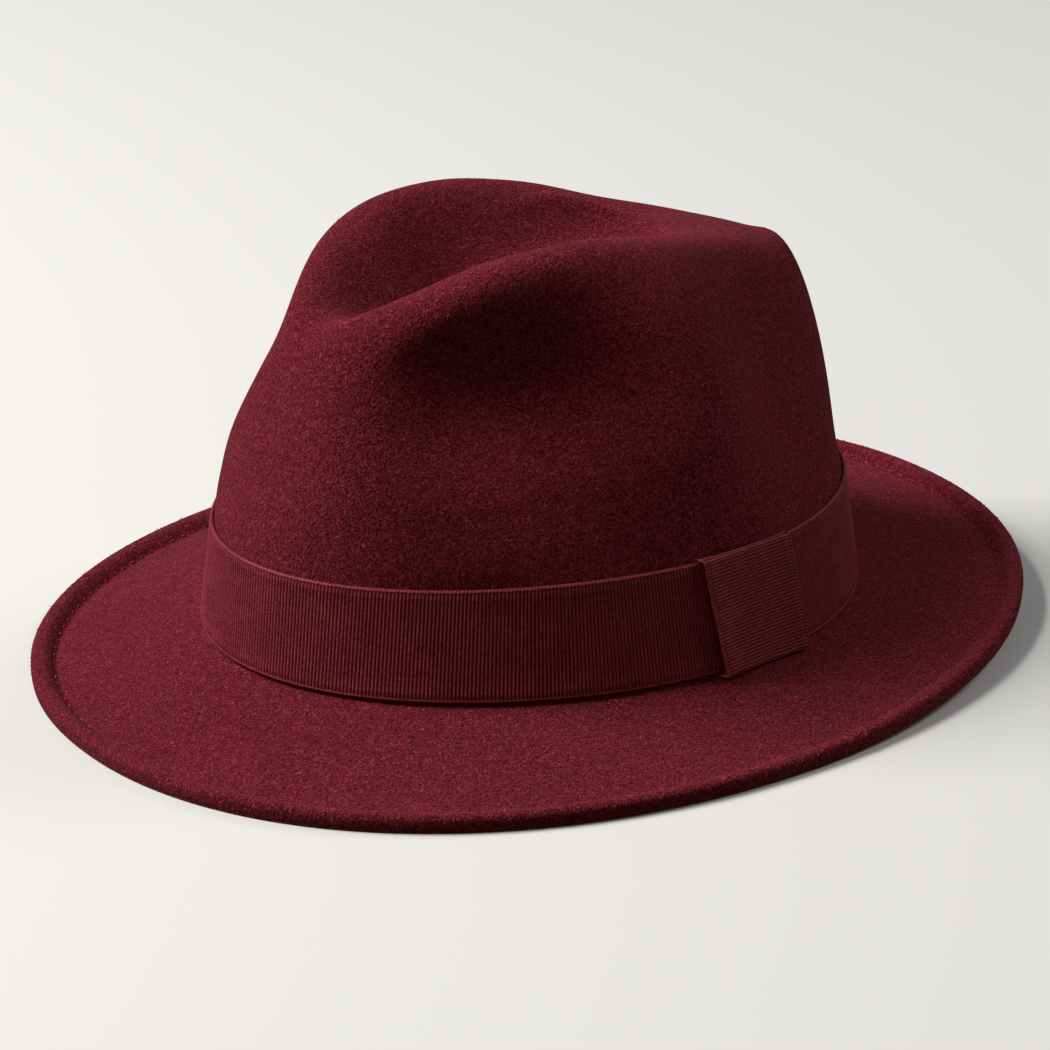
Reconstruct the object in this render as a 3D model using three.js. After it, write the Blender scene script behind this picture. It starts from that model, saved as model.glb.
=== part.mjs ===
import * as THREE from "three";

// A felt fedora standing on its brim, with a teardrop hollow in the crown, a pinch on each side of it
// and a ribbon with a wrap round the foot of the crown.
//
// Millimetres, +Z up. The front of the hat faces -Y and the wearer's left is +X. The origin lies on the
// floor under the middle of the brim. Angles run round the hat from the front to the wearer's left.

// Driving dimensions.
const FELT_THICKNESS = 2;
const PIECE_GAP = 0.3;
const STEPS_AROUND = 64;

// The brim's outline is a superellipse, slightly squarer than an ellipse. Its top dips below the
// straight line from crown to rim by the sag's power.
const BRIM = { halfWidth: 124.5, halfLength: 152.4, squareness: 2.1, sagPower: 1.15, steps: 5 };

// The rim lies flat on the floor round the front half and lifts towards the back.
const RIM_LIFT = { startAngle: 92, back: 7.8, power: 1.5 };

// The rolled rim in section, from the brim's top over the roll to the underside: distance in from
// the edge and height above the lowest face.
const RIM_SECTION = [
  { inset: 9, height: 2.2 },
  { inset: 7.2, height: 2 },
  { inset: 5.6, height: 3.5 },
  { inset: 3.6, height: 4.9 },
  { inset: 1.4, height: 5 },
  { inset: 0.2, height: 4 },
  { inset: 0, height: 2.4 },
  { inset: 0.2, height: 0.9 },
  { inset: 1, height: 0 },
  { inset: 8, height: 0 },
];

// The crown stands forward of the brim's middle. Its ovals narrow to the front by the taper.
const CROWN_FORWARD = 2.6;
const OVAL_TAPER = 0.08;

// The felt's oval at the break, where crown meets brim, and at the top of the collar that the ribbon
// covers. The break is lowest at the back.
const BREAK = { halfWidth: 82.7, halfLength: 100.7, level: 13.4, tilt: 1 };
const COLLAR = { halfWidth: 74.7, halfLength: 97.7, height: 32.1, steps: 3 };
const BREAK_BEVEL = { up: 1, in: 1 };

// Sections of the crown above the collar, evenly spaced from the front round to the back, the other
// side the same: radius low on the wall, at mid height and at the shoulder, and height of the top.
const CROWN_SECTIONS = [
  { low: 98, mid: 80, shoulder: 79, top: 112 },
  { low: 92, mid: 91, shoulder: 69, top: 122 },
  { low: 79, mid: 97, shoulder: 55, top: 132 },
  { low: 68, mid: 90, shoulder: 38, top: 135 },
  { low: 69, mid: 76, shoulder: 25, top: 138 },
  { low: 75, mid: 67, shoulder: 27, top: 136 },
  { low: 68, mid: 56, shoulder: 33, top: 138 },
  { low: 90, mid: 58, shoulder: 38, top: 147 },
  { low: 111, mid: 105, shoulder: 46, top: 149 },
];
// How far up the crown those radii lie, as fractions of the height from the break to the top.
const WALL_LEVELS = { low: 0.39, mid: 0.78, shoulder: 1.01 };
const TIP = { height: 137, ringRadius: 0.76 };
const CROWN_STEPS = 18;

// Dents in the crown, all soft-edged. The hollow runs from front to back and narrows a little on the
// way, by its widening times the distance back, and the nose notch deepens its front end.
const HOLLOW = { depth: 28, frontY: -28, frontSoft: 12, backY: 88, backSoft: 5 };
const HOLLOW_WIDTH = { half: 29, widening: -0.014, squareness: 3 };
const NOSE = { depth: 29, y: -42, halfLength: 26, narrower: 0.8 };

// The pinch presses both sides in, more on the wearer's right. Its upper and lower edges follow the
// slope and its two ends follow the lean, both in degrees, and it reaches unequally far each way.
const PINCH = { depth: 33, rightDepth: 42, crossover: 25, y: -45, z: 100, slope: 12, lean: 24 };
const PINCH_SQUARENESS = 2.2;
const PINCH_REACH = { ahead: 44, behind: 52, above: 24, below: 30, blend: 6 };

// How far up the meridian each kind of dent begins and is full.
const PINCH_FADE = { start: 0, end: 1 };
const HOLLOW_FADE = { start: 1.2, end: 3.2 };

// The ribbon stands just clear of the break and ends at the top of the collar.
const RIBBON = { thickness: 1, lift: 1.1 };

// The wrap is a short piece of ribbon folded over both edges of the ribbon, on the wearer's left.
// Its two sides stand off by the slack.
const WRAP = { angle: 105, width: 33, thickness: 1, slack: 1.2, lip: 0.9, lipReach: 0.5, steps: 6 };

const FELT_COLOUR = 0x6b1a2c;
const RIBBON_COLOUR = 0x5c1d2a;

const FULL_TURN = 2 * Math.PI;
const lerp = THREE.MathUtils.lerp;

// ---- Outlines ----

function polar(angle, radius, z) {
  return new THREE.Vector3(radius * Math.sin(angle), -radius * Math.cos(angle), z);
}

function ovalRadius(oval, angle) {
  const width = oval.halfWidth * (1 - OVAL_TAPER * Math.cos(angle));
  return 1 / Math.hypot(Math.cos(angle) / oval.halfLength, Math.sin(angle) / width);
}

function breakLevel(angle) {
  return BREAK.level + BREAK.tilt * Math.cos(angle);
}

// A point beside the collar: height above the break, and distance out from the felt.
function collarPoint(angle, height, out) {
  const rise = height / COLLAR.height;
  const radius = lerp(ovalRadius(BREAK, angle), ovalRadius(COLLAR, angle), rise);
  return polar(angle, radius + out, breakLevel(angle) + height);
}

// ---- Crown ----

function splineWeights(t) {
  const u = 1 - t;
  return [u ** 3, 3 * t ** 3 - 6 * t ** 2 + 4, 3 * u ** 3 - 6 * u ** 2 + 4, t ** 3].map((w) => w / 6);
}

// A column of the section table at any angle, as a closed cubic B-spline.
function crownSection(column, angle) {
  const last = CROWN_SECTIONS.length - 1;
  const place = angle / (Math.PI / last);
  const first = Math.floor(place);
  return splineWeights(place - first).reduce((sum, weight, i) => {
    const row = THREE.MathUtils.euclideanModulo(first + i - 1, 2 * last);
    return sum + weight * CROWN_SECTIONS[Math.min(row, 2 * last - row)][column];
  }, 0);
}

function tipRing(angle) {
  const across = (crownSection("shoulder", angle) + crownSection("shoulder", angle + Math.PI)) / 2;
  return polar(angle, TIP.ringRadius * across, TIP.height);
}

// Control points of one meridian, from just under the collar's top to just past the centre.
function meridianControls(angle) {
  const floor = breakLevel(angle);
  const height = crownSection("top", angle) - floor;
  const collar = collarPoint(angle, COLLAR.height, 0);
  const wall = Object.entries(WALL_LEVELS).map(([column, level]) =>
    polar(angle, crownSection(column, angle), floor + height * level));
  const below = collar.clone().multiplyScalar(2).sub(wall[0]);
  const centre = new THREE.Vector3(0, 0, TIP.height);
  return [below, collar, ...wall, tipRing(angle), centre, tipRing(angle + Math.PI)];
}

function bump(distance, reach, squareness = 2) {
  return Math.exp(-(Math.abs(distance / reach) ** squareness));
}

function softStep(distance, softness) {
  return 0.5 * (1 + Math.tanh(distance / softness));
}

function fade({ start, end }, s) {
  return THREE.MathUtils.smoothstep(s, start, end);
}

// How far the pinch moves a point towards -X.
function pinchAt({ x, y, z }) {
  const [slope, lean] = [PINCH.slope, PINCH.lean].map(THREE.MathUtils.degToRad);
  const [dy, dz] = [y - PINCH.y, z - PINCH.z];
  const along = dy * Math.cos(lean) + dz * Math.sin(lean);
  const up = dz * Math.cos(slope) - dy * Math.sin(slope);
  const reach = (distance, low, high) => lerp(low, high, softStep(distance, PINCH_REACH.blend));
  const alongShape = bump(along, reach(along, PINCH_REACH.ahead, PINCH_REACH.behind), PINCH_SQUARENESS);
  const upShape = bump(up, reach(up, PINCH_REACH.below, PINCH_REACH.above), PINCH_SQUARENESS);
  const depth = x > 0 ? PINCH.depth : PINCH.rightDepth;
  return depth * alongShape * upShape * Math.tanh(x / PINCH.crossover);
}

// How far the hollow and the nose notch move a point down.
function hollowAt({ x, y }) {
  const width = HOLLOW_WIDTH.half + HOLLOW_WIDTH.widening * y;
  const along = softStep(y - HOLLOW.frontY, HOLLOW.frontSoft) * softStep(HOLLOW.backY - y, HOLLOW.backSoft);
  const hollow = HOLLOW.depth * along * bump(x, width, HOLLOW_WIDTH.squareness);
  return hollow + NOSE.depth * bump(y - NOSE.y, NOSE.halfLength) * bump(x, NOSE.narrower * width);
}

function pressDents(point, s) {
  const inward = pinchAt(point) * fade(PINCH_FADE, s);
  const down = hollowAt(point) * fade(HOLLOW_FADE, s);
  return new THREE.Vector3(point.x - inward, point.y, point.z - down);
}

// The outer face of the crown: s runs from 0 at the collar's top to CENTRE at the middle of the top.
const CENTRE = 5;

function crownPoint(angle, s) {
  const first = Math.min(Math.floor(s), CENTRE - 1);
  const controls = meridianControls(angle);
  const point = new THREE.Vector3();
  splineWeights(s - first).forEach((weight, i) => point.addScaledVector(controls[first + i], weight));
  return pressDents(point, s);
}

// ---- Brim ----

function rimRadius(angle) {
  const n = BRIM.squareness;
  const across = Math.abs(Math.sin(angle) / BRIM.halfWidth) ** n;
  const along = Math.abs(Math.cos(angle) / BRIM.halfLength) ** n;
  return (across + along) ** (-1 / n);
}

function rimLift(angle) {
  const start = THREE.MathUtils.degToRad(RIM_LIFT.startAngle);
  const turn = Math.abs(angle) > Math.PI ? FULL_TURN - Math.abs(angle) : Math.abs(angle);
  const progress = Math.max(0, (turn - start) / (Math.PI - start));
  return RIM_LIFT.back * Math.sin(progress * Math.PI / 2) ** RIM_LIFT.power;
}

function rimPoint(angle, inset, height) {
  const point = polar(angle, rimRadius(angle) - inset, rimLift(angle) + height);
  point.y += CROWN_FORWARD;
  return point;
}

// The brim's upper face: t runs from 0 at the roll to 1 at the break.
function brimPoint(angle, t) {
  const outer = rimPoint(angle, RIM_SECTION[0].inset, RIM_SECTION[0].height);
  const inner = collarPoint(angle, 0, 0);
  const point = outer.clone().lerp(inner, t);
  point.z = lerp(outer.z, inner.z, t ** BRIM.sagPower);
  return point;
}

// ---- Felt ----

// The point of the inner face that lies one thickness behind a point of an outer face.
function behind(face, angle, u) {
  const step = 0.001;
  const point = face(angle, u);
  const around = face(angle + step, u).sub(point);
  const inward = face(angle, u + step).sub(point);
  return point.addScaledVector(around.cross(inward).normalize(), -FELT_THICKNESS);
}

function series(count, value) {
  return Array.from({ length: count }, (_, i) => value(i));
}

// One section of the felt, from the crown's centre down the outside, round the rim and back up inside.
function feltSection(angle) {
  const crownStops = series(CROWN_STEPS, (i) => (CENTRE * i) / CROWN_STEPS);
  const brimStops = series(BRIM.steps - 1, (i) => (i + 1) / BRIM.steps);
  const collarStops = series(COLLAR.steps, (i) => (COLLAR.height * i) / COLLAR.steps);
  const crownOut = crownStops.map((s) => crownPoint(angle, s)).reverse();
  const collarOut = collarStops.map((height) => collarPoint(angle, height, 0)).reverse();
  const brimOut = brimStops.map((t) => brimPoint(angle, t)).reverse();
  const rim = RIM_SECTION.map(({ inset, height }) => rimPoint(angle, inset, height));
  const brimIn = brimStops.map((t) => behind(brimPoint, angle, t));
  const underBreak = collarPoint(angle, -FELT_THICKNESS, BREAK_BEVEL.in);
  const collarIn = [BREAK_BEVEL.up, ...collarStops.slice(1)].map((height) =>
    collarPoint(angle, height, -FELT_THICKNESS));
  const crownIn = crownStops.map((s) => behind(crownPoint, angle, s));
  return [...crownOut, ...collarOut, ...brimOut, ...rim, ...brimIn, underBreak, ...collarIn, ...crownIn];
}

// ---- Solids from sections ----

// Skins rows of points, each row one section. Rows join round the hat if the skin is a ring, and each
// row closes on itself if its section is a loop.
function skinRows(rows, { ring, loop }) {
  const width = rows[0].length;
  const faces = [];
  for (let i = 0; i < rows.length - (ring ? 0 : 1); i++) {
    const next = (i + 1) % rows.length;
    for (let j = 0; j < width - (loop ? 0 : 1); j++) {
      const below = (j + 1) % width;
      const [a, b, c, d] = [i * width + j, i * width + below, next * width + below, next * width + j];
      faces.push(a, b, c, a, c, d);
    }
  }
  return faces;
}

function solid(name, points, faces, colour) {
  const geometry = new THREE.BufferGeometry().setFromPoints(points);
  geometry.setIndex(faces);
  geometry.computeVertexNormals();
  const material = new THREE.MeshStandardMaterial({ color: colour, roughness: 0.95, metalness: 0 });
  const mesh = new THREE.Mesh(geometry, material);
  mesh.name = name;
  return mesh;
}

const ANGLES = series(STEPS_AROUND, (i) => (i * FULL_TURN) / STEPS_AROUND);

function feltBody() {
  const rows = ANGLES.map(feltSection);
  const width = rows[0].length;
  const faces = skinRows(rows, { ring: true, loop: false });
  const outerTip = pressDents(new THREE.Vector3(0, 0, TIP.height), CENTRE);
  const innerTip = outerTip.clone().setZ(outerTip.z - FELT_THICKNESS);
  const points = [...rows.flat(), outerTip, innerTip];
  const [outer, inner] = [points.length - 2, points.length - 1];
  for (let i = 0; i < rows.length; i++) {
    const next = (i + 1) % rows.length;
    faces.push(outer, i * width, next * width);
    faces.push(inner, (next + 1) * width - 1, (i + 1) * width - 1);
  }
  return solid("felt_body", points, faces, FELT_COLOUR);
}

function ribbonBand() {
  const [near, far] = [PIECE_GAP, PIECE_GAP + RIBBON.thickness];
  const heights = series(COLLAR.steps + 1, (i) => Math.max(RIBBON.lift, (COLLAR.height * i) / COLLAR.steps));
  const rows = ANGLES.map((angle) => [
    ...heights.map((height) => collarPoint(angle, height, far)).reverse(),
    ...heights.map((height) => collarPoint(angle, height, near)),
  ]);
  return solid("ribbon_band", rows.flat(), skinRows(rows, { ring: true, loop: true }), RIBBON_COLOUR);
}

// A C-shaped section whose lips close over the ribbon's two edges.
function ribbonWrap() {
  const near = 2 * PIECE_GAP + RIBBON.thickness;
  const far = near + WRAP.thickness;
  const lipEnd = near - WRAP.lipReach;
  const [bottom, top] = [RIBBON.lift - PIECE_GAP, COLLAR.height + PIECE_GAP];
  const section = [
    { height: top + WRAP.lip, out: lipEnd, slack: 0 },
    { height: top + WRAP.lip, out: far, slack: WRAP.slack },
    { height: bottom - WRAP.lip, out: far, slack: WRAP.slack },
    { height: bottom - WRAP.lip, out: lipEnd, slack: 0 },
    { height: bottom, out: lipEnd, slack: 0 },
    { height: bottom, out: near, slack: WRAP.slack },
    { height: top, out: near, slack: WRAP.slack },
    { height: top, out: lipEnd, slack: 0 },
  ];
  const centre = THREE.MathUtils.degToRad(WRAP.angle);
  const rows = series(WRAP.steps + 1, (i) => section.map(({ height, out, slack }) => {
    const side = lerp(-1, 1, i / WRAP.steps);
    const middle = collarPoint(centre, height, out);
    const halfAngle = WRAP.width / 2 / Math.hypot(middle.x, middle.y);
    return collarPoint(centre + side * halfAngle, height, out + slack * side ** 2);
  }));
  const faces = skinRows(rows, { ring: false, loop: true });
  const end = WRAP.steps * section.length;
  for (let j = 0; j < section.length / 2 - 1; j++) {
    const [a, b, c, d] = [j, j + 1, section.length - 2 - j, section.length - 1 - j];
    faces.push(a, c, b, a, d, c);
    faces.push(end + a, end + b, end + c, end + a, end + c, end + d);
  }
  return solid("ribbon_wrap", rows.flat(), faces, RIBBON_COLOUR);
}

// The pieces are modelled round the crown's axis, then moved so that the brim's middle is the origin.
const hat = new THREE.Group();
hat.position.y = -CROWN_FORWARD;
hat.add(feltBody(), ribbonBand(), ribbonWrap());

export default hat;
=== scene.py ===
import math

import bpy
import numpy as np
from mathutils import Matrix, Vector


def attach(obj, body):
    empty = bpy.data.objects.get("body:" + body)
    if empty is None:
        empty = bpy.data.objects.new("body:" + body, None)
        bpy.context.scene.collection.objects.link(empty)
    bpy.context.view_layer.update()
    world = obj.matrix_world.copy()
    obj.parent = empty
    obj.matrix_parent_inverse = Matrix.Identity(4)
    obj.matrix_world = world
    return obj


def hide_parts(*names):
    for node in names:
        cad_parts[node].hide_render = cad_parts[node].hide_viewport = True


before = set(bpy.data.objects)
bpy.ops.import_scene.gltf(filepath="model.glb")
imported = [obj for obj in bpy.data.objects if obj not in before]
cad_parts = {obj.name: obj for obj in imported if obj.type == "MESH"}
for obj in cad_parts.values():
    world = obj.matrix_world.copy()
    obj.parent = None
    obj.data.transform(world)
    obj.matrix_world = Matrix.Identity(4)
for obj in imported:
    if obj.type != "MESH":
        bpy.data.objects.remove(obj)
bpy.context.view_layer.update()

# A felt fedora on a pale studio floor. Metres, +Z up. The front of the hat faces -Y and the wearer's
# left is +X. Angles run round the hat from the front to the wearer's left.

MM = 0.001
TURN = 2 * math.pi

# ---- Sizes, as in the CAD model ----

FELT_THICKNESS = 2 * MM
PIECE_GAP = 0.3 * MM

# The brim's outline is a superellipse. The rim lies flat round the front half and lifts backwards.
BRIM = dict(half_width=124.5 * MM, half_length=152.4 * MM, squareness=2.1, sag_power=1.15)
RIM_LIFT = dict(start=math.radians(92), back=7.8 * MM, power=1.5)

# The rolled rim in section: distance in from the edge and height above the lowest face.
RIM_SECTION = np.array([
    (9.0, 2.2),
    (7.2, 2.0),
    (5.6, 3.5),
    (3.6, 4.9),
    (1.4, 5.0),
    (0.2, 4.0),
    (0.0, 2.4),
    (0.2, 0.9),
    (1.0, 0.0),
    (8.0, 0.0),
]) * MM

# The crown stands forward of the brim's middle, on ovals that narrow to the front.
CROWN_FORWARD = 2.6 * MM
OVAL_TAPER = 0.08
BREAK = dict(half_width=82.7 * MM, half_length=100.7 * MM, level=13.4 * MM, tilt=1 * MM)
COLLAR = dict(half_width=74.7 * MM, half_length=97.7 * MM, height=32.1 * MM)

# Sections of the crown, evenly spaced from the front round to the back, the other side the same:
# radius low on the wall, at mid height and at the shoulder, and height of the top. A least-squares fit
# to the photo gave this table, rounded here to whole millimetres.
CROWN_SECTIONS = np.array([
    (98, 80, 79, 112),
    (92, 91, 69, 122),
    (79, 97, 55, 132),
    (68, 90, 38, 135),
    (69, 76, 25, 138),
    (75, 67, 27, 136),
    (68, 56, 33, 138),
    (90, 58, 38, 147),
    (111, 105, 46, 149),
]) * MM
LOW, MID, SHOULDER, TOP = range(4)
WALL_LEVELS = {LOW: 0.39, MID: 0.78, SHOULDER: 1.01}
TIP_HEIGHT = 137 * MM
TIP_RING = 0.76

# Dents pressed into the crown, with the stretch of the meridian over which they set in. Most of the
# values come from the same fit. The far pinch's depth and the pinches' crossover were then changed from the
# fit's values.
HOLLOW = dict(depth=28 * MM, front=-28 * MM, front_soft=12 * MM, back=88 * MM, back_soft=5 * MM)
HOLLOW_WIDTH = dict(half=29 * MM, widening=-0.014, squareness=3)
NOSE = dict(depth=29 * MM, y=-42 * MM, half_length=26 * MM, narrower=0.8)
PINCH = dict(depth=33 * MM, far=42 * MM, y=-45 * MM, z=100 * MM, crossover=25 * MM,
             slope=math.radians(12), lean=math.radians(24))
PINCH_SQUARENESS = 2.2
PINCH_REACH = dict(ahead=44 * MM, behind=52 * MM, above=24 * MM, below=30 * MM, blend=6 * MM)
PINCH_FADE = (0, 1)
HOLLOW_FADE = (1.2, 3.2)

RIBBON = dict(thickness=1 * MM, lift=1.1 * MM)
WRAP = dict(angle=math.radians(105), width=33 * MM, thickness=1 * MM)
WRAP_FOLD = dict(lip=0.9 * MM, lip_reach=0.5 * MM, bend=1 * MM)

# The wrap's two sides stand off the band, more at the foot than at the top, and only beyond the lips.
# Its inner face is cut back to clear the band's ribs.
SLACK = dict(top=1.2 * MM, foot_share=1.7, starts=1.2 * MM, full=2.4 * MM)
WRAP_CLEARANCE = 0.5 * MM

# Grosgrain: ribs across the ribbon, a twisted cord along each edge, a finer line of thread inside it and
# a rounded drop at the very edge. The wrap has the same relief, lower, and a narrower painted highlight along
# its edge.
BAND_RIB = 1.05 * MM
WRAP_RIB = 0.95 * MM
RIB_HEIGHT = 0.26 * MM
RIBS_START = (0.8 * MM, 1.1 * MM)
EDGE_CORD = dict(inset=0.45 * MM, reach=0.4 * MM, height=0.3 * MM, twist=0.25)
EDGE_LINE = dict(inset=2.4 * MM, reach=0.3 * MM, height=0.1 * MM)
EDGE_DROP = dict(depth=0.3 * MM, outer=-0.15 * MM, inner=0.25 * MM)
WRAP_RELIEF = 0.7
# Shifts the wrap's weave map across the ribbon, so its painted highlight along the edge cords is narrower.
WRAP_EDGE_SHIFT = 0.3 * MM

# The stitches that hold the rolled rim down. Each one arches up from ends that are sunk in the felt.
STITCH = dict(inset=6.7 * MM, height=2.3 * MM, length=2.4 * MM, pitch=5 * MM, radius=0.2 * MM)
STITCH_ARCH = dict(rise=0.28 * MM, sunk=0.12 * MM, end_share=0.35, fullness=0.6)
STITCH_STEPS, STITCH_SIDES = 7, 7

# Loose fibres of the felt's nap: how many each nap has, and the most that one bends, in radians.
FIBRE = dict(shortest=1 * MM, longest=2.6 * MM, radius=0.13 * MM, lift=0.24 * MM, bend=1.2)
NAP_FIBRES = 33000


# ---- Shape of the felt ----

def polar(angle, radius, z):
    return np.stack(np.broadcast_arrays(radius * np.sin(angle), -radius * np.cos(angle), z), -1)


def smoothstep(x, low, high):
    t = np.clip((x - low) / (high - low), 0, 1)
    return t * t * (3 - 2 * t)


def oval_radius(oval, angle):
    width = oval["half_width"] * (1 - OVAL_TAPER * np.cos(angle))
    return 1 / np.hypot(np.cos(angle) / oval["half_length"], np.sin(angle) / width)


def break_level(angle):
    return BREAK["level"] + BREAK["tilt"] * np.cos(angle)


def collar_point(angle, height, out):
    """A point beside the collar: height above the break, and distance out from the felt."""
    rise = height / COLLAR["height"]
    radius = oval_radius(BREAK, angle) * (1 - rise) + oval_radius(COLLAR, angle) * rise
    return polar(angle, radius + out, break_level(angle) + height)


def spline_weights(t):
    u = 1 - t
    return [u ** 3 / 6, (3 * t ** 3 - 6 * t ** 2 + 4) / 6, (3 * u ** 3 - 6 * u ** 2 + 4) / 6, t ** 3 / 6]


def crown_section(column, angle):
    values = CROWN_SECTIONS[:, column]
    ring = np.concatenate([values, values[-2:0:-1]])
    place = angle / TURN * len(ring)
    first = np.floor(place).astype(int)
    weights = spline_weights(place - first)
    return sum(w * ring[(first + i - 1) % len(ring)] for i, w in enumerate(weights))


def tip_ring(angle):
    across = (crown_section(SHOULDER, angle) + crown_section(SHOULDER, angle + math.pi)) / 2
    return polar(angle, TIP_RING * across, TIP_HEIGHT)


def press_dents(points, s):
    x, y, z = np.moveaxis(points, -1, 0)

    def bump(distance, reach, squareness=2):
        return np.exp(-np.abs(distance / reach) ** squareness)

    def soft_step(distance, softness):
        return 0.5 * (1 + np.tanh(distance / softness))

    def reach(distance, low, high):
        return low + (high - low) * soft_step(distance, PINCH_REACH["blend"])

    dy, dz = y - PINCH["y"], z - PINCH["z"]
    along = dy * math.cos(PINCH["lean"]) + dz * math.sin(PINCH["lean"])
    up = dz * math.cos(PINCH["slope"]) - dy * math.sin(PINCH["slope"])
    pinch = np.where(x > 0, PINCH["depth"], PINCH["far"]) * np.tanh(x / PINCH["crossover"])
    pinch = pinch * bump(along, reach(along, PINCH_REACH["ahead"], PINCH_REACH["behind"]), PINCH_SQUARENESS)
    pinch = pinch * bump(up, reach(up, PINCH_REACH["below"], PINCH_REACH["above"]), PINCH_SQUARENESS)
    pinch = pinch * smoothstep(s, *PINCH_FADE)
    width = HOLLOW_WIDTH["half"] + HOLLOW_WIDTH["widening"] * y
    along = soft_step(y - HOLLOW["front"], HOLLOW["front_soft"])
    along = along * soft_step(HOLLOW["back"] - y, HOLLOW["back_soft"])
    hollow = HOLLOW["depth"] * along * bump(x, width, HOLLOW_WIDTH["squareness"])
    nose = NOSE["depth"] * bump(y - NOSE["y"], NOSE["half_length"]) * bump(x, NOSE["narrower"] * width)
    return np.stack([x - pinch, y, z - (hollow + nose) * smoothstep(s, *HOLLOW_FADE)], -1)


CENTRE = 5


def crown_points(angle, s):
    """The crown's outer face. s runs from 0 at the collar's top to CENTRE in the middle of the top."""
    floor = break_level(angle)
    height = crown_section(TOP, angle) - floor
    collar = collar_point(angle, COLLAR["height"], 0)
    wall = [polar(angle, crown_section(c, angle), floor + height * level) for c, level in WALL_LEVELS.items()]
    centre = polar(angle, 0, TIP_HEIGHT)
    controls = [2 * collar - wall[0], collar, *wall, tip_ring(angle), centre, tip_ring(angle + math.pi)]
    controls = np.concatenate(controls, 1)
    first = np.minimum(np.floor(s).astype(int), CENTRE - 1)
    weights = spline_weights(s - first)
    points = sum(w[..., None] * controls[:, (first + i).ravel()] for i, w in enumerate(weights))
    return press_dents(points, s)


def rim_radius(angle):
    n = BRIM["squareness"]
    across = np.abs(np.sin(angle) / BRIM["half_width"]) ** n
    along = np.abs(np.cos(angle) / BRIM["half_length"]) ** n
    return (across + along) ** (-1 / n)


def rim_lift(angle):
    turn = np.abs((angle + math.pi) % TURN - math.pi)
    progress = np.clip((turn - RIM_LIFT["start"]) / (math.pi - RIM_LIFT["start"]), 0, 1)
    return RIM_LIFT["back"] * np.sin(progress * math.pi / 2) ** RIM_LIFT["power"]


def rim_point(angle, inset, height):
    points = polar(angle, rim_radius(angle) - inset, rim_lift(angle) + height)
    points[..., 1] += CROWN_FORWARD
    return points


def brim_points(angle, t):
    """The brim's upper face. t runs from 0 at the roll to 1 at the break."""
    outer = rim_point(angle, *RIM_SECTION[0])
    inner = collar_point(angle, 0, 0)
    points = outer + (inner - outer) * t[..., None]
    points[..., 2] = outer[..., 2] + (inner[..., 2] - outer[..., 2]) * t ** BRIM["sag_power"]
    return points


def normals_of(face, angle, u):
    step = 1e-4
    point = face(angle, u)
    normal = np.cross(face(angle + step, u) - point, face(angle, u + step) - point)
    return normal / np.linalg.norm(normal, axis=-1, keepdims=True)


def behind(face, angle, u):
    return face(angle, u) - normals_of(face, angle, u) * FELT_THICKNESS


def smooth_rows(rows, steps):
    """A short table's rows, joined by a Catmull-Rom curve with so many steps from row to row."""
    ends = [2 * rows[0] - rows[1], *rows, 2 * rows[-1] - rows[-2]]
    curve = []
    for a, b, c, d in zip(ends, ends[1:], ends[2:], ends[3:]):
        for t in np.arange(steps) / steps:
            curve.append(b + 0.5 * t * (c - a + t * (2 * a - 5 * b + 4 * c - d + t * (3 * (b - c) + d - a))))
    return np.array([*curve, rows[-1]])


# ---- Meshes from rows of points ----

def grid_faces(count, width, ring, loop):
    i = np.arange(count if ring else count - 1)[:, None]
    j = np.arange(width if loop else width - 1)[None, :]
    ni, nj = (i + 1) % count, (j + 1) % width
    corners = [i * width + j, i * width + nj, ni * width + nj, ni * width + j]
    return np.stack(np.broadcast_arrays(*corners), -1).reshape(-1, 4)


def add_mesh(name, points, faces, material, shift=(0, -CROWN_FORWARD, 0)):
    mesh = bpy.data.meshes.new(name)
    mesh.from_pydata((np.asarray(points) + shift).tolist(), [], [list(map(int, f)) for f in faces])
    mesh.polygons.foreach_set("use_smooth", np.ones(len(mesh.polygons), bool))
    mesh.materials.append(material)
    mesh.update()
    piece = bpy.data.objects.new(name, mesh)
    bpy.context.scene.collection.objects.link(piece)
    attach(piece, "root")
    return piece


def add_map(piece, name, places):
    """A UV map from one place for each corner of each face."""
    layer = piece.data.uv_layers.new(name=name, do_init=False)
    layer.uv.foreach_set("vector", np.asarray(places, np.float32).ravel())


def grid_places(along, around):
    """The places of a grid's face corners: the ends of each step along it and of each step around it."""
    shape = (len(along) - 1, len(around) - 1)
    a, b = np.broadcast_to(along[:-1, None], shape), np.broadcast_to(along[1:, None], shape)
    c, d = np.broadcast_to(around[None, :-1], shape), np.broadcast_to(around[None, 1:], shape)
    corners = [(a, c), (a, d), (b, d), (b, c)]
    return np.stack([np.stack(corner, -1) for corner in corners], 2).reshape(-1, 4, 2)


BAKE_MARGIN = 0.004
BAKE_BAND_MARGIN = 0.02


def bake_places(places, bands):
    """Squares a grid's places up to fill a map, cut into so many bands that lie one above the other."""
    low, high = places.min((0, 1)), places.max((0, 1))
    unit = (places - low) / (high - low) * (bands, 1)
    band = np.clip(np.floor(unit[..., 0].mean(1)), 0, bands - 1)[:, None]
    u = BAKE_MARGIN + (1 - 2 * BAKE_MARGIN) * (unit[..., 0] - band)
    v = (band + BAKE_BAND_MARGIN + (1 - 2 * BAKE_BAND_MARGIN) * unit[..., 1]) / bands
    return np.stack([u, v], -1)


def lengths(points):
    """How far along a line each of its points is."""
    return np.concatenate([[0], np.cumsum(np.linalg.norm(np.diff(points, axis=0), axis=1))])


# ---- Felt cap ----

FELT_DIVISIONS = 320
CROWN_ROWS_OUT, CROWN_ROWS_IN = 110, 44
BRIM_ROWS_OUT, BRIM_ROWS_IN = 34, 18
COLLAR_ROWS = 6
RIM_STEPS = 5
NAP_ROWS_CROWN, NAP_ROWS_BRIM = 90, 30
NAP_FROM_CENTRE = 0.02
RIM_ROWS_SEEN = 8


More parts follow.
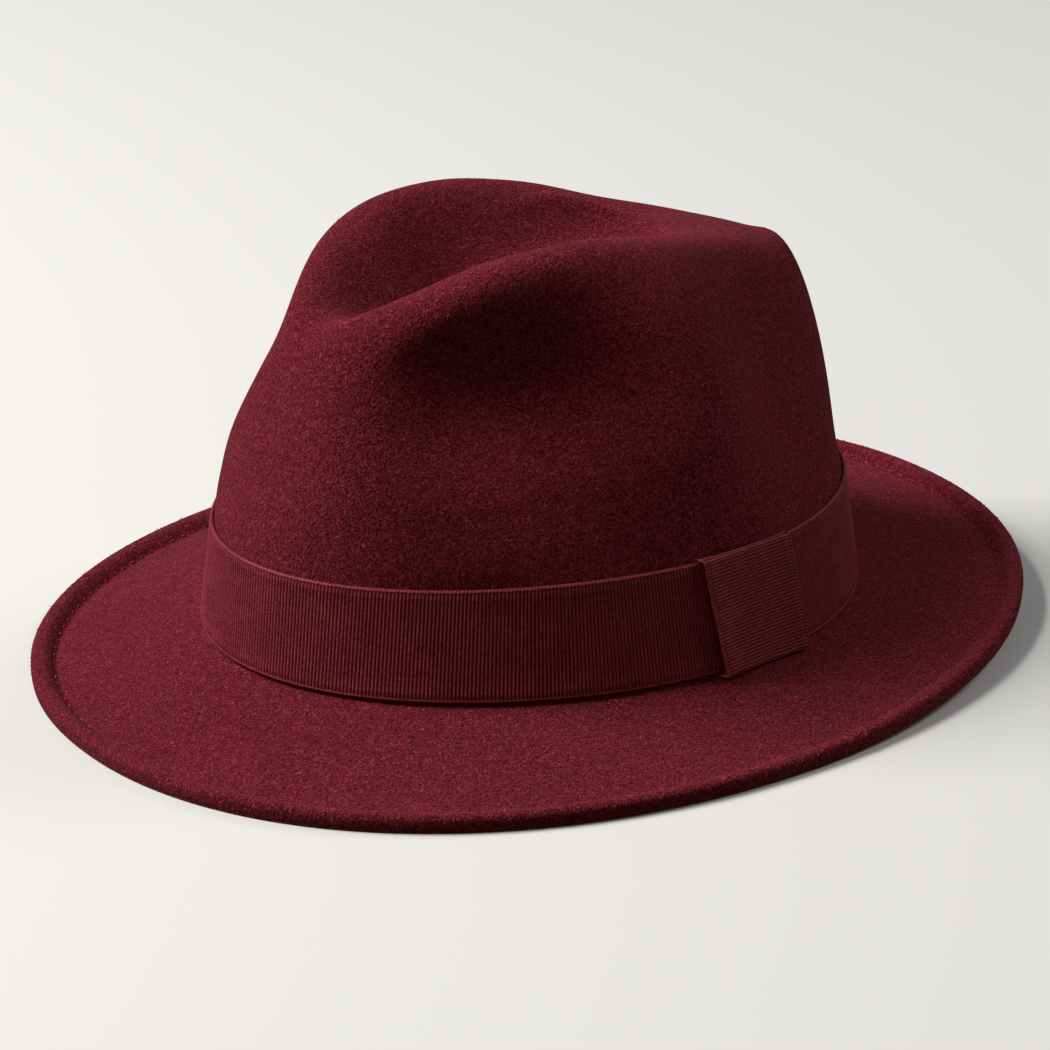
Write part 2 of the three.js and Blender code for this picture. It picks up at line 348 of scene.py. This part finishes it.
def felt_rows():
    """Sections of the felt, from the crown's centre down the outside, round the rim and back up inside."""
    angle = np.arange(FELT_DIVISIONS)[:, None] * TURN / FELT_DIVISIONS
    heights = np.linspace(0, COLLAR["height"], COLLAR_ROWS, endpoint=False)[None, :]
    s_out = np.linspace(CENTRE, 0, CROWN_ROWS_OUT + 1)[None, 1:]
    s_in = np.linspace(0, CENTRE, CROWN_ROWS_IN, endpoint=False)[None, :]
    t_out = np.linspace(1, 0, BRIM_ROWS_OUT + 2)[None, 1:-1]
    t_in = np.linspace(0, 1, BRIM_ROWS_IN + 2)[None, 1:-1]
    rim = smooth_rows(RIM_SECTION, RIM_STEPS)
    rim[:, 1] = np.maximum(rim[:, 1], 0)
    parts = [
        crown_points(angle, s_out),
        collar_point(angle, heights[:, ::-1], 0),
        brim_points(angle, t_out),
        rim_point(angle, rim[None, :, 0], rim[None, :, 1]),
        behind(brim_points, angle, t_in),
        collar_point(angle, -FELT_THICKNESS, FELT_THICKNESS / 2),
        collar_point(angle, np.maximum(heights, FELT_THICKNESS / 2), -FELT_THICKNESS),
        behind(crown_points, angle, s_in),
    ]
    return np.concatenate(parts, 1)


def add_naps(material):
    angle = np.arange(FELT_DIVISIONS)[:, None] * TURN / FELT_DIVISIONS
    crown = crown_points(angle, np.linspace(CENTRE - NAP_FROM_CENTRE, 0, NAP_ROWS_CROWN)[None, :])
    rim = smooth_rows(RIM_SECTION[:RIM_ROWS_SEEN], RIM_STEPS)
    brim = brim_points(angle, np.linspace(1, 0, NAP_ROWS_BRIM)[None, :])
    brim = np.concatenate([brim, rim_point(angle, rim[None, :, 0], rim[None, :, 1])], 1)
    add_nap("crown_nap", crown, 1, material)
    add_nap("brim_nap", brim, 2, material)


def felt_cap(material):
    rows = felt_rows()
    count, width = rows.shape[:2]
    tip = press_dents(np.array([[0, 0, TIP_HEIGHT]]), np.array([CENTRE]))
    points = np.concatenate([rows.reshape(-1, 3), tip, tip - (0, 0, FELT_THICKNESS)])
    outer, inner = len(points) - 2, len(points) - 1
    faces = grid_faces(count, width, ring=True, loop=False).tolist()
    for i in range(count):
        following = (i + 1) % count
        faces.append((outer, i * width, following * width))
        faces.append((inner, following * width + width - 1, i * width + width - 1))
    piece = add_mesh("felt_cap", points, faces, material)
    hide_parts("felt_body")


# ---- Ribbons ----

RIB_COLUMNS = 6
INNER_ROWS = 4
OUTLINE_POINTS = 361
BAND_BAKE_ROWS = 6
EDGE_STOPS = np.array([0, 0.15, 0.4, 0.65, 0.85, 1.1, 2.1, 2.4, 2.7, 6]) * MM


def across_ribbon(width):
    """Stops across a ribbon, close together at its two edges."""
    return np.concatenate([EDGE_STOPS, [width / 2], (width - EDGE_STOPS)[::-1]])


def relief(along, across, width, rib):
    """How far a grosgrain face stands above the ground between its ribs."""
    inset = np.minimum(across, width - across)
    ribs = RIB_HEIGHT * np.abs(np.sin(math.pi * along / rib)) * smoothstep(inset, *RIBS_START)
    twist = 1 - EDGE_CORD["twist"] + EDGE_CORD["twist"] * np.cos(2 * TURN * along / rib)
    cord = EDGE_CORD["height"] * twist * np.exp(-((inset - EDGE_CORD["inset"]) / EDGE_CORD["reach"]) ** 4)
    line = EDGE_LINE["height"] * np.exp(-((inset - EDGE_LINE["inset"]) / EDGE_LINE["reach"]) ** 4)
    drop = EDGE_DROP["depth"] * (1 - smoothstep(inset, EDGE_DROP["outer"], EDGE_DROP["inner"]))
    return ribs + cord + line - drop


def band_ribbon(material):
    width = COLLAR["height"] - RIBBON["lift"]
    outline_angles = np.linspace(0, TURN, OUTLINE_POINTS)
    outline = collar_point(outline_angles, width / 2, PIECE_GAP)
    girth = lengths(outline)[-1]
    ribs = BAND_BAKE_ROWS * round(girth / BAND_RIB / BAND_BAKE_ROWS)
    count = ribs * RIB_COLUMNS
    turn = np.arange(count) / count
    across = across_ribbon(width)[::-1]
    angle = np.interp(turn, lengths(outline) / girth, outline_angles)[:, None]
    raised = relief(turn[:, None] * ribs * BAND_RIB, across[None, :], width, BAND_RIB)
    ground = PIECE_GAP + RIBBON["thickness"] - RIB_HEIGHT
    inner_stops = np.linspace(0, width, INNER_ROWS)
    outer = collar_point(angle, RIBBON["lift"] + across[None, :], ground + raised)
    inner = collar_point(angle, RIBBON["lift"] + inner_stops[None, :], PIECE_GAP)
    rows = np.concatenate([outer, inner], 1)
    faces = grid_faces(*rows.shape[:2], ring=True, loop=True)
    piece = add_mesh("band_ribbon", rows.reshape(-1, 3), faces, material)
    inset = np.minimum(across, width - across)
    around = np.concatenate([inset, -inner_stops - RIBBON["thickness"], [0]])
    along = np.arange(count + 1) / RIB_COLUMNS * BAND_RIB
    add_map(piece, "weave", grid_places(along, around))
    add_map(piece, "OFBake", bake_places(grid_places(along, np.arange(len(around))), BAND_BAKE_ROWS))
    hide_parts("ribbon_band")


def fold_path():
    """The wrap's outer face in section: heights, distances out and the directions it faces."""
    near = 2 * PIECE_GAP + RIBBON["thickness"]
    far, lip_end = near + WRAP["thickness"], near - WRAP_FOLD["lip_reach"]
    top = COLLAR["height"] + PIECE_GAP + WRAP_FOLD["lip"]
    bottom = RIBBON["lift"] - PIECE_GAP - WRAP_FOLD["lip"]
    bend = WRAP_FOLD["bend"]
    quarter = np.linspace(0, math.pi / 2, 12)
    upper = np.stack([top - bend + bend * np.cos(quarter), far - bend + bend * np.sin(quarter)], -1)
    lower = np.stack([bottom + bend - bend * np.sin(quarter), far - bend + bend * np.cos(quarter)], -1)
    line = np.concatenate([[(top, lip_end)], upper, lower, [(bottom, lip_end)]])
    facing = np.concatenate([[(1, 0)], np.stack([np.cos(quarter), np.sin(quarter)], -1),
                             np.stack([-np.sin(quarter), np.cos(quarter)], -1), [(-1, 0)]])
    return line, facing


def wrap_ribbon(material):
    line, facing = fold_path()
    stops = lengths(line)
    ribs = round(stops[-1] / WRAP_RIB)
    along = np.linspace(0, stops[-1], ribs * RIB_COLUMNS + 1)
    height, out = (np.interp(along, stops, line[:, k])[:, None] for k in (0, 1))
    up, outward = (np.interp(along, stops, facing[:, k])[:, None] for k in (0, 1))
    width = WRAP["width"]
    across = across_ribbon(width)[None, :]
    raised = WRAP_RELIEF * relief(along[:, None], across, width, stops[-1] / ribs) - RIB_HEIGHT
    inner_stops = np.linspace(width, 0, INNER_ROWS)[None, :]

    def place(across, depth):
        side = (across - width / 2) / (width / 2)
        spread = SLACK["foot_share"] + (1 - SLACK["foot_share"]) * height / COLLAR["height"]
        slack = SLACK["top"] * spread * side ** 2 * smoothstep(out, SLACK["starts"], SLACK["full"])
        level, reach = height + up * depth, out + outward * depth + slack
        middle = collar_point(WRAP["angle"], level, reach)
        angle = WRAP["angle"] + (across - width / 2) / np.hypot(middle[..., 0], middle[..., 1])
        return collar_point(angle, level, reach)

    thickness = WRAP["thickness"] - WRAP_CLEARANCE
    rows = np.concatenate([place(across, raised), place(inner_stops, -thickness)], 1)
    rows = rows[:, ::-1]
    count, loop = rows.shape[:2]
    faces = grid_faces(count, loop, ring=False, loop=True).tolist()
    faces.append(list(range(loop))[::-1])
    faces.append([(count - 1) * loop + j for j in range(loop)])
    piece = add_mesh("wrap_ribbon", rows.reshape(-1, 3), faces, material)
    inset = np.minimum(across, width - across)[0]
    around = np.concatenate([-inner_stops[0] - thickness, inset[::-1] + WRAP_EDGE_SHIFT, [-thickness]])
    ends = np.zeros((2 * loop, 2))
    weave = grid_places(np.arange(count) / RIB_COLUMNS * BAND_RIB, around)
    bake = bake_places(grid_places(along, np.arange(loop + 1)), 1)
    add_map(piece, "weave", np.concatenate([weave.reshape(-1, 2), ends]))
    add_map(piece, "OFBake", np.concatenate([bake.reshape(-1, 2), ends + 0.001]))
    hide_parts("ribbon_wrap")


# ---- Stitches and nap ----

def tube(centres, radius, sides):
    """The points of a tube that tapers at its two ends, along rows of centres."""
    ahead = np.gradient(centres, axis=-2)
    ahead /= np.linalg.norm(ahead, axis=-1, keepdims=True)
    side = np.cross(ahead, (0, 0, 1))
    side /= np.linalg.norm(side, axis=-1, keepdims=True)
    up = np.cross(side, ahead)
    turn = (np.arange(sides) * TURN / sides)[:, None]
    ring = np.cos(turn) * side[..., None, :] + np.sin(turn) * up[..., None, :]
    return centres[..., None, :] + radius[..., None, None] * ring


def rim_stitching(material):
    outline_angles = np.linspace(0, TURN, 2 * OUTLINE_POINTS - 1)
    outline = rim_point(outline_angles, STITCH["inset"], 0)
    girth = lengths(outline)[-1]
    count = round(girth / STITCH["pitch"])
    steps, sides = STITCH_STEPS, STITCH_SIDES
    t = np.linspace(0, 1, steps)
    arch = np.sin(math.pi * t)
    far = (np.arange(count)[:, None] + STITCH["length"] / STITCH["pitch"] * t) / count
    angle = np.interp(far, lengths(outline) / girth, outline_angles)
    lift = STITCH_ARCH["rise"] * arch - STITCH_ARCH["sunk"]
    centres = rim_point(angle, STITCH["inset"], STITCH["height"] + lift)
    end_share = STITCH_ARCH["end_share"]
    swell = end_share + (1 - end_share) * arch ** STITCH_ARCH["fullness"]
    radius = np.broadcast_to(STITCH["radius"] * swell, angle.shape)
    points = tube(centres, radius, sides).reshape(count, -1, 3)
    one = grid_faces(steps, sides, ring=False, loop=True).tolist()
    one += [list(range(sides))[::-1], [(steps - 1) * sides + k for k in range(sides)]]
    size = steps * sides
    faces = [[i * size + v for v in face] for i in range(count) for face in one]
    piece = add_mesh("rim_stitching", points.reshape(-1, 3), faces, material)


def scatter(rows, count, random):
    """Points spread evenly over a grid of rows, with the way each point faces."""
    ring = np.concatenate([rows, rows[:1]])
    a, b, c, d = ring[:-1, :-1], ring[:-1, 1:], ring[1:, 1:], ring[1:, :-1]
    facing = np.cross(c - a, b - d)
    area = np.linalg.norm(facing, axis=-1)
    cell = random.choice(area.size, count, p=area.ravel() / area.sum())
    u, v = random.random((2, count, 1))
    corner = [k.reshape(-1, 3)[cell] for k in (a, b, c, d)]
    points = (1 - u) * ((1 - v) * corner[0] + v * corner[1]) + u * ((1 - v) * corner[3] + v * corner[2])
    normals = facing.reshape(-1, 3)[cell]
    return points, normals / np.linalg.norm(normals, axis=1, keepdims=True)


def add_nap(name, rows, seed, material):
    """Short bent fibres that lie almost flat on the felt, and never below the floor."""
    random = np.random.default_rng(seed)
    count = NAP_FIBRES
    root, normal = scatter(rows, count, random)
    heading = random.random((count, 1)) * TURN
    bend = (random.random((count, 1)) - 0.5) * 2 * FIBRE["bend"]
    side = np.cross(normal, (0.3, 0.5, 0.8))
    side /= np.linalg.norm(side, axis=1, keepdims=True)
    other = np.cross(normal, side)

    def tangent(turn):
        return side * np.cos(turn) + other * np.sin(turn)

    length = FIBRE["shortest"] + (FIBRE["longest"] - FIBRE["shortest"]) * random.random((count, 1)) ** 2
    lift = FIBRE["lift"] * (0.3 + random.random((count, 1)))
    middle = root + tangent(heading) * length / 2 + normal * lift
    tip = middle + tangent(heading + bend) * length / 2 + normal * lift * (random.random((count, 1)) - 0.7)
    radius = FIBRE["radius"] * (0.7 + 0.6 * random.random((count, 1)))

    across = np.cross(normal, tangent(heading + bend / 2)) * radius
    waist = np.stack([middle - across, middle + across, middle + normal * radius * 1.2], 1)
    points = np.concatenate([root[:, None], waist, tip[:, None]], 1)
    points[..., 2] = np.maximum(points[..., 2], 0)
    one = [(0, 2, 1), (0, 3, 2), (0, 1, 3), (4, 1, 2), (4, 2, 3), (4, 3, 1)]
    faces = [[i * 5 + v for v in face] for i in range(count) for face in one]
    piece = add_mesh(name, points.reshape(-1, 3), faces, material)


# ---- Materials ----

def node(tree, kind, inputs=None, **settings):
    made = tree.nodes.new(kind)
    for key, value in settings.items():
        setattr(made, key, value)
    for socket, value in (inputs or {}).items():
        if isinstance(value, bpy.types.NodeSocket):
            tree.links.new(value, made.inputs[socket])
        else:
            made.inputs[socket].default_value = value
    return made


def new_material(name):
    material = bpy.data.materials.new(name)
    material.use_nodes = True
    tree = material.node_tree
    return material, tree, tree.nodes["Principled BSDF"]


def math_node(tree, operation, *values):
    return node(tree, "ShaderNodeMath", dict(enumerate(values)), operation=operation).outputs[0]


def noise(tree, place, size, **inputs):
    """Noise whose features are about so many metres across."""
    values = {"Vector": place, "Scale": 1 / size, "Detail": 2.0, **inputs}
    return node(tree, "ShaderNodeTexNoise", values, noise_dimensions="4D").outputs["Fac"]


def ramp(tree, value, low, high, start=0.0, end=1.0):
    inputs = {"Value": value, "From Min": low, "From Max": high, "To Min": start, "To Max": end}
    return node(tree, "ShaderNodeMapRange", inputs, interpolation_type="SMOOTHSTEP").outputs[0]


def mix(tree, factor, first, second):
    made = node(tree, "ShaderNodeMix", data_type="RGBA")
    factor_in, first_in, second_in = made.inputs[0], made.inputs[6], made.inputs[7]
    for socket, value in ((factor_in, factor), (first_in, first), (second_in, second)):
        if isinstance(value, bpy.types.NodeSocket):
            tree.links.new(value, socket)
        else:
            socket.default_value = value
    return made.outputs[2]


def strands(tree, place, size, seed, width):
    """Short curled strands: thin ridges of a noise, broken up by another."""
    ridge = noise(tree, place, size, W=seed, Distortion=0.8)
    distance = math_node(tree, "ABSOLUTE", math_node(tree, "SUBTRACT", ridge, 0.5))
    line = ramp(tree, distance, 0.0, width, 1.0, 0.0)
    gaps = ramp(tree, noise(tree, place, size * 0.8, W=seed + 7.0), 0.42, 0.58)
    return math_node(tree, "MULTIPLY", line, gaps)


WINE = (0.15, 0.0083, 0.0158, 1)
WINE_DARK = (0.04, 0.0019, 0.0038, 1)
WINE_FIBRE = (0.5, 0.052, 0.088, 1)
NAP_DARK = (0.1, 0.006, 0.011, 1)
NAP_LIGHT = (0.6, 0.062, 0.1, 1)


def felt_material():
    material, tree, shader = new_material("wine_felt")
    place = node(tree, "ShaderNodeTexCoord").outputs["Object"]
    coarse = strands(tree, place, size=1.3 * MM, seed=1.0, width=0.05)
    fine = strands(tree, place, size=0.8 * MM, seed=3.0, width=0.07)
    mottle = ramp(tree, noise(tree, place, 0.7 * MM, W=5.0, Detail=2.0), 0.35, 0.65)
    patch = ramp(tree, noise(tree, place, 40 * MM, W=6.0), 0.3, 0.7)
    shade = math_node(tree, "MULTIPLY_ADD", mottle, 0.85, math_node(tree, "MULTIPLY", patch, 0.15))
    base = mix(tree, shade, WINE_DARK, WINE)
    light = math_node(tree, "MAXIMUM", coarse, fine)
    colour = mix(tree, math_node(tree, "MULTIPLY", light, 0.8), base, WINE_FIBRE)
    height = math_node(tree, "ADD", light, mottle)
    bump = node(tree, "ShaderNodeBump", {"Height": height, "Strength": 1.0, "Distance": 0.3 * MM})
    tree.links.new(colour, shader.inputs["Base Color"])
    tree.links.new(bump.outputs[0], shader.inputs["Normal"])
    shader.inputs["Roughness"].default_value = 0.95
    shader.inputs["Specular IOR Level"].default_value = 0.15
    shader.inputs["Sheen Weight"].default_value = 0.12
    shader.inputs["Sheen Roughness"].default_value = 0.45
    shader.inputs["Sheen Tint"].default_value = (1.0, 0.3, 0.38, 1)
    shader.inputs["Specular Tint"].default_value = (1.0, 0.35, 0.4, 1)
    return material


# The ribbon's dark colour stands both for dark threads and for painted shade in the valleys between the ribs.
RIBBON_DARK_AND_VALLEY_SHADE = (0.06, 0.006, 0.009, 1)
RIBBON_LIGHT = (0.4, 0.052, 0.072, 1)
# Painted highlight along the ribbons' edge cords.
RIBBON_CORD_HIGHLIGHT = (0.32, 0.042, 0.06, 1)


def ribbon_material():
    material, tree, shader = new_material("grosgrain_ribbon")
    weave = node(tree, "ShaderNodeUVMap", uv_map="weave").outputs[0]
    split = node(tree, "ShaderNodeSeparateXYZ", {"Vector": weave}).outputs
    place = node(tree, "ShaderNodeTexCoord").outputs["Object"]
    turn = math_node(tree, "MULTIPLY", split[0], math.pi / BAND_RIB)
    # Painted shade: the ribbon is made darker in the valleys between its ribs and lighter on their crests.
    painted_rib_shade = ramp(tree, math_node(tree, "ABSOLUTE", math_node(tree, "SINE", turn)), 0.15, 0.95)
    thread = noise(tree, place, 0.45 * MM, W=2.0)
    patch = noise(tree, place, 9 * MM, W=3.0)
    grain = ramp(tree, thread, 0.3, 0.7)
    tone = math_node(tree, "MULTIPLY_ADD", grain, 0.6, math_node(tree, "MULTIPLY", patch, 0.4))
    colour = mix(tree, math_node(tree, "MULTIPLY", tone, painted_rib_shade), RIBBON_DARK_AND_VALLEY_SHADE, RIBBON_LIGHT)
    # Painted highlight: a paler line along each edge cord, broken up by the thread noise.
    from_cord = math_node(tree, "ABSOLUTE", math_node(tree, "SUBTRACT", split[1], EDGE_CORD["inset"]))
    cord_highlight_reach = ramp(tree, from_cord, 0.2 * MM, 0.4 * MM, 0.6, 0.0)
    painted_cord_highlight = math_node(tree, "MULTIPLY", cord_highlight_reach, ramp(tree, thread, 0.3, 0.6))
    colour = mix(tree, painted_cord_highlight, colour, RIBBON_CORD_HIGHLIGHT)
    bump = node(tree, "ShaderNodeBump", {"Height": thread, "Strength": 0.8, "Distance": 0.15 * MM})
    tree.links.new(colour, shader.inputs["Base Color"])
    tree.links.new(bump.outputs[0], shader.inputs["Normal"])
    tree.links.new(ramp(tree, thread, 0.3, 0.7, 0.36, 0.54), shader.inputs["Roughness"])
    shader.inputs["Specular IOR Level"].default_value = 0.3
    shader.inputs["Specular Tint"].default_value = (1.0, 0.3, 0.36, 1)
    shader.inputs["Sheen Weight"].default_value = 0.03
    shader.inputs["Sheen Roughness"].default_value = 0.4
    shader.inputs["Sheen Tint"].default_value = (1.0, 0.25, 0.32, 1)
    return material


def fibre_material(name, dark, light):
    material, tree, shader = new_material(name)
    place = node(tree, "ShaderNodeTexCoord").outputs["Object"]
    tone = ramp(tree, noise(tree, place, 1.1 * MM, W=1.0), 0.35, 0.65)
    strand = noise(tree, place, 0.15 * MM, W=2.0)
    bump = node(tree, "ShaderNodeBump", {"Height": strand, "Strength": 0.4, "Distance": 0.04 * MM})
    tree.links.new(mix(tree, tone, dark, light), shader.inputs["Base Color"])
    tree.links.new(bump.outputs[0], shader.inputs["Normal"])
    shader.inputs["Roughness"].default_value = 0.8
    shader.inputs["Specular IOR Level"].default_value = 0.15
    return material


# ---- Studio ----

VIEW_AZIMUTH = math.radians(55)
VIEW_ELEVATION = math.radians(23)
VIEW_DISTANCE = 1.163
VIEW_TARGET = Vector((-0.0097, 0.0031, 0.0267))
LENS = 135
LIGHT_TARGET = Vector((0, 0, 0.05))
FLOOR_HALF = 6.0


def direction(azimuth, elevation):
    """A unit vector that points away from the hat; azimuth runs from the front to the wearer's left."""
    flat = math.cos(elevation)
    return Vector((flat * math.sin(azimuth), -flat * math.cos(azimuth), math.sin(elevation)))


def aim(thing, place, target):
    thing.location = place
    thing.rotation_euler = (place - target).to_track_quat("Z", "Y").to_euler()


def add_camera():
    camera = bpy.data.objects.new("camera", bpy.data.cameras.new("camera"))
    camera.data.lens = LENS
    bpy.context.scene.collection.objects.link(camera)
    aim(camera, VIEW_TARGET + VIEW_DISTANCE * direction(VIEW_AZIMUTH, VIEW_ELEVATION), VIEW_TARGET)
    bpy.context.scene.camera = camera


def add_softbox(name, azimuth, elevation, distance, size, watts, colour):
    light = bpy.data.lights.new(name, "AREA")
    light.size = size
    light.energy = watts
    light.color = colour
    softbox = bpy.data.objects.new(name, light)
    bpy.context.scene.collection.objects.link(softbox)
    place = distance * direction(math.radians(azimuth), math.radians(elevation))
    aim(softbox, place, LIGHT_TARGET)


def add_floor():
    """A pale floor that neither lights the hat nor shows in its gloss, so the hat's shadows stay deep."""
    material, tree, shader = new_material("studio_floor")
    shader.inputs["Base Color"].default_value = (0.67, 0.66, 0.645, 1)
    shader.inputs["Roughness"].default_value = 0.9
    shader.inputs["Specular IOR Level"].default_value = 0.1
    corners = [(x * FLOOR_HALF, y * FLOOR_HALF, 0) for x, y in ((-1, -1), (1, -1), (1, 1), (-1, 1))]
    mesh = bpy.data.meshes.new("studio_floor")
    mesh.from_pydata(corners, [], [(0, 1, 2, 3)])
    mesh.materials.append(material)
    floor = bpy.data.objects.new("studio_floor", mesh)
    bpy.context.scene.collection.objects.link(floor)
    floor.visible_diffuse = False
    floor.visible_glossy = False


def add_studio():
    world = bpy.data.worlds.new("studio")
    world.use_nodes = True
    background = world.node_tree.nodes["Background"]
    background.inputs["Color"].default_value = (1.0, 0.99, 0.975, 1)
    background.inputs["Strength"].default_value = 0.12
    bpy.context.scene.world = world
    add_floor()
    key = dict(azimuth=-35, elevation=47, distance=2.2, size=1.0, watts=70, colour=(1.0, 0.99, 0.97))
    back = dict(azimuth=168, elevation=38, distance=2.2, size=0.8, watts=12, colour=(1.0, 1.0, 1.0))
    add_softbox("key", **key)
    add_softbox("back", **back)
    bpy.context.scene.view_settings.view_transform = "Standard"


add_camera()
add_studio()
felt_cap(felt_material())
ribbon = ribbon_material()
band_ribbon(ribbon)
wrap_ribbon(ribbon)
rim_stitching(fibre_material("rim_thread", WINE, WINE_FIBRE))
add_naps(fibre_material("nap_fibre", NAP_DARK, NAP_LIGHT))
